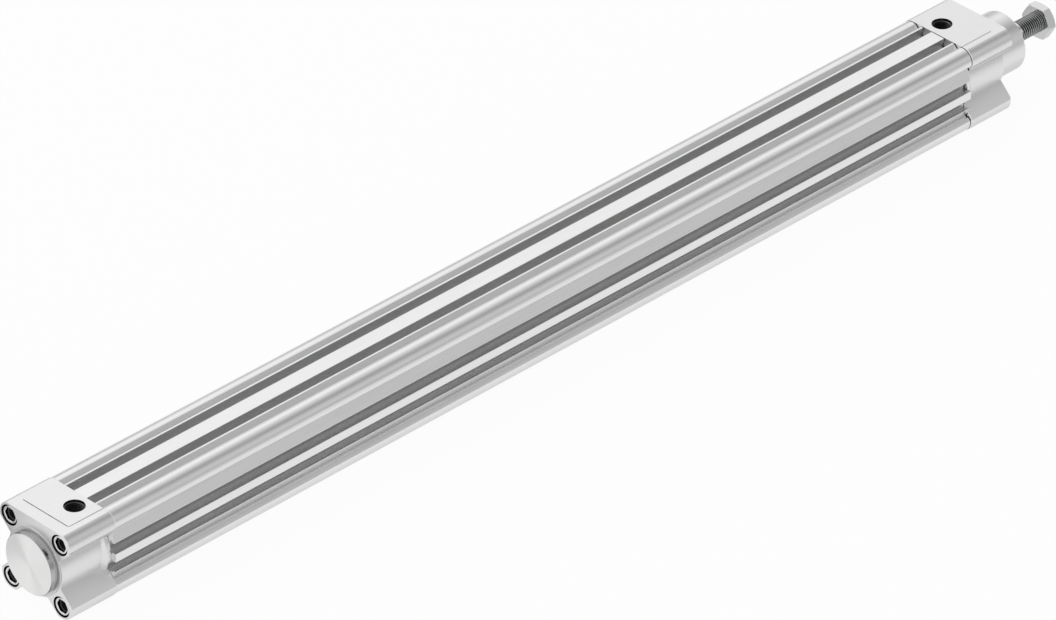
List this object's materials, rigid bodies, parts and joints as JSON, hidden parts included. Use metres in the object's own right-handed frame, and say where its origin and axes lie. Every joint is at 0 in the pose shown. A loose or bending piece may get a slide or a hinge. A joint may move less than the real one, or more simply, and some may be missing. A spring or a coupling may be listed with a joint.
{
  "type": "pneumatic cylinder",
  "caption": "Double-acting pneumatic cylinder with a slotted profile barrel, cast end caps, a magnetic piston on a round threaded rod, and a lock nut.",
  "frame": {"origin": "centre of the rear cap's mounting face, on the cylinder's axis", "axes": "+X along the axis towards the rod end, +Z out of the side with the air ports"},
  "size_m": [0.646, 0.045, 0.045],
  "materials": {
    "anodised_profile": "satin anodised extrusion",
    "cast_cap": "blasted and anodised casting, machined faces",
    "zinc_steel": "zinc plated",
    "seal_rubber": "moulded black rubber",
    "seal_polyurethane": "moulded polyurethane",
    "bearing_bronze": "sintered bronze",
    "rod_steel": "ground and hard chromed",
    "piston_aluminium": "turned",
    "magnet_compound": "plastic bonded ferrite",
    "spring_steel": "phosphated spring steel",
    "band_plastic": "natural acetal"
  },
  "bodies": {
    "housing": {"barrel": "anodised_profile", "rear_cap": "cast_cap", "front_cap": "cast_cap", "rear_cap_screws": "zinc_steel", "front_cap_screws": "zinc_steel", "rear_cap_o_ring": "seal_rubber", "front_cap_o_ring": "seal_rubber", "rear_cushion_seal": "seal_polyurethane", "front_cushion_seal": "seal_polyurethane", "rod_bearing_bush": "bearing_bronze", "rod_wiper_seal": "seal_polyurethane"},
    "piston_seals": {"rear_piston_seal": "seal_polyurethane", "front_piston_seal": "seal_polyurethane", "piston_guide_band": "band_plastic"},
    "rod": {"piston_rod": "rod_steel", "rear_piston_half": "piston_aluminium", "front_piston_half": "piston_aluminium", "piston_hub_o_ring": "seal_rubber", "rear_bumper_ring": "seal_rubber", "front_bumper_ring": "seal_rubber", "piston_magnet": "magnet_compound", "rear_cushion_spigot": "piston_aluminium", "front_cushion_sleeve": "piston_aluminium", "cushion_sleeve_clip": "spring_steel"},
    "nut": {"lock_nut": "zinc_steel"}
  },
  "joints": [
    {"name": "rod_slide", "type": "slide", "parent": "housing", "child": "piston_seals", "axis": [1, 0, 0], "range_m": [0, 0.5]},
    {"name": "rod_turn", "type": "hinge", "parent": "piston_seals", "child": "rod", "pos_m": [0.047, 0, 0], "axis": [1, 0, 0], "continuous": true},
    {"name": "nut_turn", "type": "hinge", "parent": "rod", "child": "nut", "pos_m": [0.6365, 0, 0], "axis": [1, 0, 0], "continuous": true}
  ]
}
